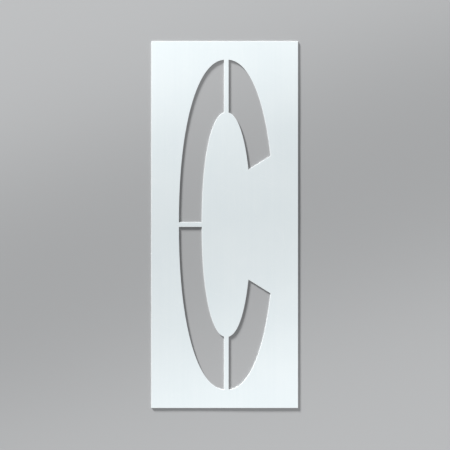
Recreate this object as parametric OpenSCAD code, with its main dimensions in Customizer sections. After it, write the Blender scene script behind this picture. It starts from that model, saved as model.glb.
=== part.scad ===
// Road marking stencil: a flat plastic sheet with a tall, narrow letter C cut through it.
// The sheet lies on the road: origin at the middle of its underside, +X across the sheet towards
// the letter's mouth, +Y along it towards the letter's crown, +Z up. Millimetres.

/* [Letter] */
// Height of the letter, from its foot to its crown
letter_h = 1828.8; // [1400:0.1:2600]
// Width of the letter's bowl, taken as if the mouth were closed
bowl_w = 526; // [420:0.5:900]
// Width of the stroke at the side of the bowl
stroke_w = 127; // [60:0.1:180]
// Height of the stroke at the crown and at the foot
crown_h = 292.1; // [120:0.1:500]
// Fullness of the bowl's curves: 2 is an ellipse, and more is squarer
fullness = 2.2; // [2:0.05:3]
// Height of the mouth between the outer tips of the letter's terminals
mouth_outer_h = 762; // [640:0.1:1200]
// Height of the mouth between the inner tips of the letter's terminals
mouth_inner_h = 609.6; // [300:0.1:740]

/* [Bridges] */
// Width of the bridges that tie the counter to the border
bridge_w = 25.4; // [10:0.1:60]
// Length of each bridge and of the neck that stays on the counter and on the border, up to the seam
seam_stub = 8; // [3:0.5:20]

/* [Sheet] */
// Width of the sheet left of the letter, and right of it
side_margin = 152.4; // [40:0.1:300]
// Height of the sheet above the letter, and below it
end_margin = 101.6; // [40:0.1:300]
// Thickness of the sheet
sheet_t = 3.2; // [1.5:0.1:8]

/* [Hidden] */

sheet_white = [0.90, 0.94, 0.95];

// Straight steps along each quarter of a bowl curve
quarter_steps = 64;

// Half sizes of the letter's outer curve, and of the counter's curve inside it
outer_half_w = bowl_w / 2;
outer_half_h = letter_h / 2;
inner_half_w = outer_half_w - stroke_w;
inner_half_h = outer_half_h - crown_h;

// Each terminal is a straight cut, from its inner tip on the counter's curve to its outer tip
outer_tip_y = mouth_outer_h / 2;
inner_tip_y = mouth_inner_h / 2;
outer_tip_x = bowl_reach(outer_tip_y, outer_half_h, outer_half_w);
inner_tip_x = bowl_reach(inner_tip_y, inner_half_h, inner_half_w);
terminal_slope = (outer_tip_y - inner_tip_y) / (outer_tip_x - inner_tip_x);

// The letter reaches from the bowl's left side to its outer tips, and is centred on the sheet
letter_w = outer_half_w + outer_tip_x;
sheet_w = letter_w + 2 * side_margin;
sheet_h = letter_h + 2 * end_margin;
bowl_axis_x = (outer_half_w - outer_tip_x) / 2;

// From the middle of the bowl out past the letter, to the sheet's edges
edge_reach_x = outer_half_w + side_margin;
edge_reach_y = outer_half_h + end_margin;

// Seams, as distances from the middle of the bowl: each bridge runs from the counter's seam to the
// border's, and the neck has one seam between the counter and the border
counter_crown_seam = inner_half_h + seam_stub;
border_crown_seam = bowl_reach(bridge_w / 2, outer_half_w, outer_half_h) - seam_stub;
counter_side_seam = inner_half_w + seam_stub;
border_side_seam = bowl_reach(bridge_w / 2, outer_half_h, outer_half_w) - seam_stub;
neck_seam = outer_tip_x - seam_stub;

// How far a bowl curve reaches to one side, at a distance along it from its middle
function bowl_reach(along, half_length, half_reach) =
    half_reach * pow(1 - pow(abs(along) / half_length, fullness), 1 / fullness);

// A sine or cosine raised to the bowl curve's power, with its sign kept
function eased(s) = sign(s) * pow(abs(s), 2 / fullness);

// Height of a terminal's line at a distance x from the bowl's axis
function terminal_y(x) = inner_tip_y + terminal_slope * (x - inner_tip_x);

module bowl(half_w, half_h) {
    step = 90 / quarter_steps;
    polygon([for (a = [0:step:360 - step]) [half_w * eased(cos(a)), half_h * eased(sin(a))]]);
}

// The sheet that closes the letter's mouth, between its two terminals
module neck(from_x, to_x) {
    polygon([
        [from_x, -terminal_y(from_x)],
        [to_x, -terminal_y(to_x)],
        [to_x, terminal_y(to_x)],
        [from_x, terminal_y(from_x)]
    ]);
}

// A tie as wide as a bridge, on a ray from the middle of the bowl
module tie(angle, from_r, to_r) {
    rotate(angle)
        translate([from_r, -bridge_w / 2])
            square([to_r - from_r, bridge_w]);
}

// A flat shape drawn about the middle of the bowl, cut out of the sheet through its thickness
module cut_from_sheet() {
    color(sheet_white)
        linear_extrude(sheet_t)
            translate([bowl_axis_x, 0])
                children();
}

module border() {
    cut_from_sheet()
        difference() {
            translate([-bowl_axis_x, 0])
                square([sheet_w, sheet_h], center = true);
            difference() {
                bowl(outer_half_w, outer_half_h);
                tie(90, border_crown_seam, edge_reach_y);
                tie(180, border_side_seam, edge_reach_x);
                tie(270, border_crown_seam, edge_reach_y);
                neck(neck_seam, edge_reach_x);
            }
        }
}

module counter() {
    cut_from_sheet() {
        bowl(inner_half_w, inner_half_h);
        neck(0, neck_seam);
        tie(90, 0, counter_crown_seam);
        tie(180, 0, counter_side_seam);
        tie(270, 0, counter_crown_seam);
    }
}

module top_bridge() {
    cut_from_sheet()
        tie(90, counter_crown_seam, border_crown_seam);
}

module left_bridge() {
    cut_from_sheet()
        tie(180, counter_side_seam, border_side_seam);
}

module bottom_bridge() {
    cut_from_sheet()
        tie(270, counter_crown_seam, border_crown_seam);
}

border();
counter();
top_bridge();
left_bridge();
bottom_bridge();
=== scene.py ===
from math import cos, pi, radians, sin

import bmesh
import bpy
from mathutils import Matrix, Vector


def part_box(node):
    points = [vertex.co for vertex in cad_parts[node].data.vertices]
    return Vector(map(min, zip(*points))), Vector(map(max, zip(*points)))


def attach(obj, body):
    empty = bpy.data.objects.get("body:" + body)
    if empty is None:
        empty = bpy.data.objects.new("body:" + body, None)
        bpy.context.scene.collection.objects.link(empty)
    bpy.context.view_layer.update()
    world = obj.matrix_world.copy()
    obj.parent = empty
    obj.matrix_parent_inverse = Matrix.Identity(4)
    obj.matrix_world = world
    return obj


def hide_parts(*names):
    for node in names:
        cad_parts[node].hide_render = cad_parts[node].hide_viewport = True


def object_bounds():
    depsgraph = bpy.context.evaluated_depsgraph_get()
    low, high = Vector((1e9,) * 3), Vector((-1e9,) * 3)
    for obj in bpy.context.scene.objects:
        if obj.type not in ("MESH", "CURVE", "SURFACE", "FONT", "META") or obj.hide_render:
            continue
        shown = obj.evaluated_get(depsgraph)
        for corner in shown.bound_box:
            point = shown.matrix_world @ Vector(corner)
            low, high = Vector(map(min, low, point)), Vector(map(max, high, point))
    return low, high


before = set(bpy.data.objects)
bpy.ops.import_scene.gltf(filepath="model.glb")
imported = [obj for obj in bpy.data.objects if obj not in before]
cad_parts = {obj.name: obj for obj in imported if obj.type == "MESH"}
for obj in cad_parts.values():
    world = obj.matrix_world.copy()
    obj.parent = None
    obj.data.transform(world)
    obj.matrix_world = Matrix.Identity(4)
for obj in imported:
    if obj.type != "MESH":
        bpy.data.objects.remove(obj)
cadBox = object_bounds()
bpy.ops.object.select_all(action="DESELECT")
print("frame loaded:", ", ".join(sorted(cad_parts)))

sheetLow, sheetHigh = cadBox


# small helpers for the steps below

def onlySelect(thing):
    bpy.ops.object.select_all(action="DESELECT")
    thing.select_set(True)
    bpy.context.view_layer.objects.active = thing


def editMesh(thing, mode):
    onlySelect(thing)
    bpy.ops.object.mode_set(mode="EDIT")
    bpy.ops.mesh.select_mode(type=mode)
    bpy.ops.mesh.select_all(action="DESELECT")


def leaveEdit():
    bpy.ops.object.mode_set(mode="OBJECT")


def pickFaces(thing, wanted):
    mesh = bmesh.from_edit_mesh(thing.data)
    for face in mesh.faces:
        face.select_set(wanted(face))
    bmesh.update_edit_mesh(thing.data)


def pickEdges(thing, wanted):
    mesh = bmesh.from_edit_mesh(thing.data)
    for edge in mesh.edges:
        edge.select_set(wanted(edge))
    bmesh.update_edit_mesh(thing.data)


# camera: straight above the sheet, with the letter's crown at the top of the picture

photoView = {
    "pictureWidth": 2.494,    # metres that the picture takes in, at the sheet's top
    "lens": 85.0,
    "sensor": 36.0,
    "aimX": 0.0016,           # the picture's middle, from the sheet's middle
    "aimY": -0.0021,
}


def placeCamera():
    height = photoView["pictureWidth"] * photoView["lens"] / photoView["sensor"]
    place = (photoView["aimX"], photoView["aimY"], sheetHigh.z + height)
    bpy.ops.object.camera_add(location=place, rotation=(0, 0, 0))
    camera = bpy.context.object
    camera.name = "photoCamera"
    camera.data.lens = photoView["lens"]
    camera.data.sensor_width = photoView["sensor"]
    bpy.context.scene.camera = camera


placeCamera()
print("camera placed")


# the sheet: one routed sheet, made whole so that its surface runs on across the seams

sheetPieces = {
    "border": "sheetBorder",
    "counter": "sheetCounter",
    "top_bridge": "topBridge",
    "left_bridge": "leftBridge",
    "bottom_bridge": "bottomBridge",
}

sheetShape = {
    "mergeGap": 0.00002,      # corners this close are one
    "flatAngle": 0.05,        # degrees, under which two faces are one
    "flatNormal": 0.99,       # how upright a flat face's normal is, and a wall's
    "wallNormal": 0.01,
    "rimRound": 0.0004,       # the knife-edge taken off each routed rim
    "rimSteps": 3,
    "rimBand": 0.0040,        # strip beside each rim that turns whiter, partly as a painted highlight
    "gridStep": 0.024,        # squares fine enough for the swell
    "swellHeight": 0.0008,    # how far the sheet swells off the floor
    "swellLength": 0.5,
    "smoothAngle": 40,        # degrees, over which an edge stays sharp
    "seamGap": 0.0001,        # how close to a cut's or a seam's plane counts as on it
    "sortFrom": (2, 3, 1),    # off to one side, where mirrored corners aren't equally far
}


def seamSpans():
    # axis across the seam, its place on that axis, and the two ends of the seam
    spans = []
    for name in ("top_bridge", "bottom_bridge"):
        low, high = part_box(name)
        spans += [(1, low.y, low.x, high.x), (1, high.y, low.x, high.x)]
    low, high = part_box("left_bridge")
    spans += [(0, low.x, low.y, high.y), (0, high.x, low.y, high.y)]
    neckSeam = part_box("counter")[1].x
    mouth = [v.co.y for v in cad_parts["counter"].data.vertices
             if abs(v.co.x - neckSeam) < sheetShape["seamGap"]]
    spans.append((0, neckSeam, min(mouth), max(mouth)))
    return spans


def onSeam(points):
    gap = sheetShape["seamGap"]
    for axis, place, start, end in seams:
        inPlane = all(abs(p[axis] - place) < gap for p in points)
        inReach = all(start - gap < p[1 - axis] < end + gap for p in points)
        if inPlane and inReach:
            return True
    return False


def isFlat(face):
    return abs(face.normal.z) > sheetShape["flatNormal"]


def isWall(face):
    return abs(face.normal.z) < sheetShape["wallNormal"]


def mergedSheet():
    # copies of the nodes, joined and without the walls between them
    copies = []
    for node in sheetPieces:
        copy = bpy.data.objects.new("sheetCopy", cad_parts[node].data.copy())
        bpy.context.scene.collection.objects.link(copy)
        copies.append(copy)
    bpy.ops.object.select_all(action="DESELECT")
    for copy in copies:
        copy.select_set(True)
    bpy.context.view_layer.objects.active = copies[0]
    bpy.ops.object.join()
    sheet = bpy.context.object
    sheet.data.materials.clear()

    editMesh(sheet, "FACE")
    bpy.ops.mesh.select_all(action="SELECT")
    bpy.ops.mesh.remove_doubles(threshold=sheetShape["mergeGap"])
    pickFaces(sheet, lambda face: onSeam([v.co for v in face.verts]))
    bpy.ops.mesh.delete(type="ONLY_FACE")
    bpy.ops.mesh.select_all(action="SELECT")
    bpy.ops.mesh.delete_loose()
    bpy.ops.mesh.select_all(action="SELECT")
    bpy.ops.mesh.dissolve_limited(angle_limit=radians(sheetShape["flatAngle"]))
    leaveEdit()
    return sheet


def sortMesh():
    # an inset lists its new faces in any order, so all are listed by distance, the same each run
    cursor = bpy.context.scene.cursor
    cursor.location = sheetShape["sortFrom"]
    bpy.ops.mesh.select_all(action="SELECT")
    bpy.ops.mesh.sort_elements(type="CURSOR_DISTANCE", elements={"VERT", "EDGE", "FACE"})
    cursor.location = (0, 0, 0)


def roundRims(sheet):
    editMesh(sheet, "EDGE")
    pickEdges(sheet, lambda edge: sum(isFlat(face) for face in edge.link_faces) == 1)
    bpy.ops.mesh.bevel(offset=sheetShape["rimRound"], segments=sheetShape["rimSteps"],
                       loop_slide=False, clamp_overlap=False)    # points stay square to the rim
    bpy.ops.mesh.select_mode(type="FACE")
    pickFaces(sheet, isFlat)
    bpy.ops.mesh.inset(thickness=sheetShape["rimBand"], depth=0)
    sortMesh()
    leaveEdit()


def markRims(sheet):
    # cutRim is 1 on rims and walls and falls to 0 across the strip beside them
    # cutWall is 1 on walls and 0 on the two faces of the sheet
    mesh = sheet.data
    onRim = [0.0] * len(mesh.vertices)
    onWall = [0.0] * len(mesh.vertices)
    for face in mesh.polygons:
        for corner in face.vertices:
            if not isFlat(face):
                onRim[corner] = 1.0
            if isWall(face):
                onWall[corner] = 1.0
    mesh.attributes.new("cutRim", "FLOAT", "POINT").data.foreach_set("value", onRim)
    mesh.attributes.new("cutWall", "FLOAT", "POINT").data.foreach_set("value", onWall)


def cutGrid(sheet):
    step = sheetShape["gridStep"]
    planes = [(axis, place) for axis, place, start, end in seams]    # the sheet is parted there later
    for axis in (0, 1):
        count = int(sheetHigh[axis] / step)
        planes += [(axis, i * step) for i in range(-count, count + 1)]
    editMesh(sheet, "FACE")
    for axis, place in planes:
        across = Vector((0, 0, 0))
        across[axis] = 1
        bpy.ops.mesh.select_all(action="SELECT")
        bpy.ops.mesh.bisect(plane_co=across * place, plane_no=across,
                            threshold=sheetShape["seamGap"])
    leaveEdit()


def swellSheet(sheet):
    swell = bpy.data.textures.new("sheetSwell", "CLOUDS")
    swell.noise_scale = sheetShape["swellLength"]
    swell.noise_depth = 0
    onlySelect(sheet)
    lift = sheet.modifiers.new("lift", "DISPLACE")
    lift.texture = swell
    lift.texture_coords = "LOCAL"
    lift.direction = "Z"
    lift.mid_level = 0
    lift.strength = sheetShape["swellHeight"]
    bpy.ops.object.modifier_apply(modifier="lift")


def splitAtSeams(sheet):
    editMesh(sheet, "EDGE")
    pickEdges(sheet, lambda edge: onSeam([v.co for v in edge.verts]))
    bpy.ops.mesh.edge_split(type="EDGE")
    bpy.ops.mesh.select_all(action="SELECT")
    bpy.ops.mesh.separate(type="LOOSE")
    leaveEdit()
    return list(bpy.context.selected_objects)


def nodeOf(piece):
    # the node whose box the piece fills
    corners = [Vector(c) for c in piece.bound_box]
    low = Vector(map(min, *corners))
    high = Vector(map(max, *corners))

    def misfit(node):
        nodeLow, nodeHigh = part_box(node)
        return (low - nodeLow).length + (high - nodeHigh).length

    return min(sheetPieces, key=misfit)


def finishPiece(piece, finish):
    node = nodeOf(piece)
    piece.name = sheetPieces[node]
    piece.data.name = sheetPieces[node]
    editMesh(piece, "FACE")
    bpy.ops.mesh.select_all(action="SELECT")
    bpy.ops.mesh.fill_holes(sides=0)
    bpy.ops.mesh.select_all(action="SELECT")
    bpy.ops.mesh.normals_make_consistent(inside=False)
    leaveEdit()
    bpy.ops.object.shade_smooth_by_angle(angle=radians(sheetShape["smoothAngle"]))
    shading = piece.modifiers.new("shading", "WEIGHTED_NORMAL")    # keeps flats flat beside rims
    shading.keep_sharp = True
    bpy.ops.object.modifier_apply(modifier="shading")
    piece.data.materials.append(finish)
    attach(piece, "root")
    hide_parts(node)
    print("piece finished:", piece.name, len(piece.data.polygons), "faces")


sheetLook = {
    # a scale is in features a metre, and a span is the stretch of a pattern that goes from none to all
    "paleColour": (0.815, 0.874, 0.890, 1),
    "deepColour": (0.785, 0.850, 0.870, 1),
    "whitenedAndHighlight": (0.93, 0.955, 0.96, 1),      # cut or rubbed plastic turns whiter; at the rims partly a painted highlight along the edges
    "dust": (0.52, 0.55, 0.55, 1),           # settles on the rough walls
    "ior": 1.51,
    "shine": 0.4,
    "roughness": 0.50,
    "patternDetail": 2,               # finer layers in every pattern
    "cloudScale": 3.2,                # soft changes of tone
    "cloudRough": 0.06,
    "toneSpan": (0.35, 0.65),
    "streakScale": (70, 0.7, 0.7),    # drawn-out lines left by extrusion, along the sheet
    "streakDepth": 0.00006,
    "streakShare": 0.3,
    "grainScale": 520,                # the satin grain of both faces
    "grainDepth": 0.000045,
    "grainSpan": (0.3, 0.7),
    "scuffTurns": (24, -52, 81),      # degrees, the ways that handling has rubbed it
    "scuffScale": (5, 420, 1),
    "scuffSpan": (0.68, 0.76),
    "scuffRough": 0.10,
    "scuffWhite": 0.6,
    "rimRough": 0.10,
    "rimWhitenedAndHighlight": (0.25, 0.95),         # least and most, as the grain has it; the rims' white is partly a painted highlight
    "toolScale": (900, 900, 60),      # upright marks of the cutter on the walls
    "toolDepth": 0.0004,
    "dustScale": 45,
    "dustSpan": (0.35, 0.7),
    "dustShare": 0.7,
}


def addNode(tree, kind, inputs=None, **settings):
    # an input is a plain value, or another node's output to link
    node = tree.nodes.new(kind)
    for name, value in settings.items():
        setattr(node, name, value)
    for name, value in (inputs or {}).items():
        if isinstance(value, bpy.types.NodeSocket):
            tree.links.new(value, node.inputs[name])
        else:
            node.inputs[name].default_value = value
    return node


def mathNode(tree, operation, first, second):
    return addNode(tree, "ShaderNodeMath", {0: first, 1: second}, operation=operation).outputs[0]


def times(tree, first, second):
    return mathNode(tree, "MULTIPLY", first, second)


def plus(tree, first, second):
    return mathNode(tree, "ADD", first, second)


def mixNumber(tree, share, first, second):
    return addNode(tree, "ShaderNodeMix", {0: share, 2: first, 3: second}).outputs[0]


def mixColour(tree, share, first, second):
    # a Mix node's colours are its 7th and 8th inputs and its 3rd output
    mix = addNode(tree, "ShaderNodeMix", {0: share, 6: first, 7: second}, data_type="RGBA")
    return mix.outputs[2]


def spread(tree, value, span, to=(0, 1)):
    inputs = {
        "Value": value,
        "From Min": span[0],
        "From Max": span[1],
        "To Min": to[0],
        "To Max": to[1],
    }
    return addNode(tree, "ShaderNodeMapRange", inputs).outputs[0]


def plainNoise(tree, place, scale):
    inputs = {"Vector": place, "Scale": scale, "Detail": sheetLook["patternDetail"]}
    return addNode(tree, "ShaderNodeTexNoise", inputs).outputs[0]


def stretchedNoise(tree, place, scale, turn=0):
    # turned on the sheet first, then drawn out along it
    turns = (0, 0, radians(turn))
    turned = addNode(tree, "ShaderNodeMapping", {"Vector": place, "Rotation": turns})
    drawn = addNode(tree, "ShaderNodeMapping", {"Vector": turned.outputs[0], "Scale": scale})
    return plainNoise(tree, drawn.outputs[0], 1)


def meshMark(tree, name):
    return addNode(tree, "ShaderNodeAttribute", attribute_name=name).outputs["Fac"]


def bumped(tree, height, depth, normal=None):
    inputs = {"Height": height, "Distance": depth}
    if normal:
        inputs["Normal"] = normal
    return addNode(tree, "ShaderNodeBump", inputs).outputs[0]


def scuffMarks(tree, place):
    marks = 0
    for turn in sheetLook["scuffTurns"]:
        lines = stretchedNoise(tree, place, sheetLook["scuffScale"], turn)
        marks = mathNode(tree, "MAXIMUM", marks, spread(tree, lines, sheetLook["scuffSpan"]))
    return marks


def sheetMaterial():
    look = sheetLook
    finish = bpy.data.materials.new("satinWhiteSheet")
    finish.use_nodes = True
    tree = finish.node_tree
    place = addNode(tree, "ShaderNodeTexCoord").outputs["Object"]
    rim = meshMark(tree, "cutRim")
    wall = meshMark(tree, "cutWall")
    cloud = plainNoise(tree, place, look["cloudScale"])
    streak = stretchedNoise(tree, place, look["streakScale"])
    grain = plainNoise(tree, place, look["grainScale"])
    scuff = scuffMarks(tree, place)
    tool = stretchedNoise(tree, place, look["toolScale"])
    dust = spread(tree, plainNoise(tree, place, look["dustScale"]), look["dustSpan"])
    dust = times(tree, dust, look["dustShare"])

    # colour: clouds and streaks, whiter where rubbed, whiter at the rims partly as a painted
    # highlight, dusty on the walls
    tone = spread(tree, mixNumber(tree, look["streakShare"], cloud, streak), look["toneSpan"])
    colour = mixColour(tree, tone, look["deepColour"], look["paleColour"])
    # the rims' white: partly stress whitening, partly a painted highlight along every edge
    rimWhitenedAndHighlight = times(tree, rim, spread(tree, grain, look["grainSpan"], look["rimWhitenedAndHighlight"]))
    whiteMarksAndHighlight = mathNode(tree, "MAXIMUM", rimWhitenedAndHighlight, times(tree, scuff, look["scuffWhite"]))
    colour = mixColour(tree, whiteMarksAndHighlight, colour, look["whitenedAndHighlight"])
    colour = mixColour(tree, times(tree, wall, dust), colour, look["dust"])

    rough = plus(tree, times(tree, cloud, look["cloudRough"]), look["roughness"])
    rough = plus(tree, rough, times(tree, scuff, look["scuffRough"]))
    rough = plus(tree, rough, times(tree, rim, look["rimRough"]))

    normal = bumped(tree, streak, look["streakDepth"])
    normal = bumped(tree, grain, look["grainDepth"], normal)
    normal = bumped(tree, times(tree, tool, wall), look["toolDepth"], normal)

    shader = tree.nodes["Principled BSDF"]
    shader.inputs["IOR"].default_value = look["ior"]
    shader.inputs["Specular IOR Level"].default_value = look["shine"]
    tree.links.new(colour, shader.inputs["Base Color"])
    tree.links.new(rough, shader.inputs["Roughness"])
    tree.links.new(normal, shader.inputs["Normal"])
    return finish


seams = seamSpans()
sheet = mergedSheet()
print("sheet merged:", len(sheet.data.vertices), "points")
roundRims(sheet)
markRims(sheet)
print("rims rounded:", len(sheet.data.polygons), "faces")
cutGrid(sheet)
swellSheet(sheet)
print("sheet laid:", len(sheet.data.polygons), "faces")

finish = sheetMaterial()
for piece in splitAtSeams(sheet):
    finishPiece(piece, finish)


# floor, lights and the room's own light

paleFloor = {
    "size": 80.0,
    "colour": (0.43, 0.435, 0.44, 1),
    "roughness": 1,
    "shine": 0,
}


def layFloor():
    bpy.ops.object.select_all(action="DESELECT")
    bpy.ops.mesh.primitive_plane_add(size=paleFloor["size"], location=(0, 0, sheetLow.z))
    floor = bpy.context.object
    floor.name = "paleFloor"
    paint = bpy.data.materials.new("paleFloorPaint")
    paint.use_nodes = True
    shader = paint.node_tree.nodes["Principled BSDF"]
    shader.inputs["Base Color"].default_value = paleFloor["colour"]
    shader.inputs["Roughness"].default_value = paleFloor["roughness"]
    shader.inputs["Specular IOR Level"].default_value = paleFloor["shine"]
    floor.data.materials.append(paint)


lightPanels = {
    # hung level over the two ends of the sheet: degrees turned, metres from the sheet's middle
    # to the panel's inner edge, and glow
    "upperPanel": {"turn": 17.5, "edge": 0.68, "glow": 0.47},
    "lowerPanel": {"turn": 196.5, "edge": 0.61, "glow": 0.39},
}

panelShape = {
    "height": 0.6,            # above the floor
    "width": 80.0,            # far past all that a view takes in
    "length": 40.0,
}

windowLight = {
    "from": (-0.72, 1),       # upper left of the picture
    "height": 8,              # degrees above the floor
    "width": 6,               # degrees across, which softens its shadows
    "power": 12.5,
}

roomLight = {
    "colour": (0.22, 0.225, 0.23, 1),    # from all round
}


def hangPanel(name, panel):
    turn = radians(panel["turn"])
    outwards = Vector((-sin(turn), cos(turn), 0))
    middle = outwards * (panel["edge"] + panelShape["length"] / 2)
    middle.z = panelShape["height"]
    bpy.ops.object.light_add(type="AREA", location=middle, rotation=(0, 0, turn))
    lamp = bpy.context.object
    lamp.name = name
    lamp.data.shape = "RECTANGLE"
    lamp.data.size = panelShape["width"]
    lamp.data.size_y = panelShape["length"]
    lamp.data.energy = panel["glow"] * pi * panelShape["width"] * panelShape["length"]
    lamp.visible_camera = False


def openWindow():
    across = Vector((*windowLight["from"], 0)).normalized()
    height = radians(windowLight["height"])
    toLight = across * cos(height) + Vector((0, 0, sin(height)))
    bpy.ops.object.light_add(type="SUN", rotation=toLight.to_track_quat("Z", "Y").to_euler())
    window = bpy.context.object
    window.name = "windowLight"
    window.data.energy = windowLight["power"]
    window.data.angle = radians(windowLight["width"])
    window.visible_glossy = False    # a curtain takes its glare


def lightRoom():
    world = bpy.data.worlds.new("paleRoom")
    world.use_nodes = True
    world.node_tree.nodes["Background"].inputs["Color"].default_value = roomLight["colour"]
    bpy.context.scene.world = world
    bpy.context.scene.view_settings.view_transform = "Standard"


openWindow()
layFloor()
for name, panel in lightPanels.items():
    hangPanel(name, panel)
lightRoom()
print("floor and lights set")
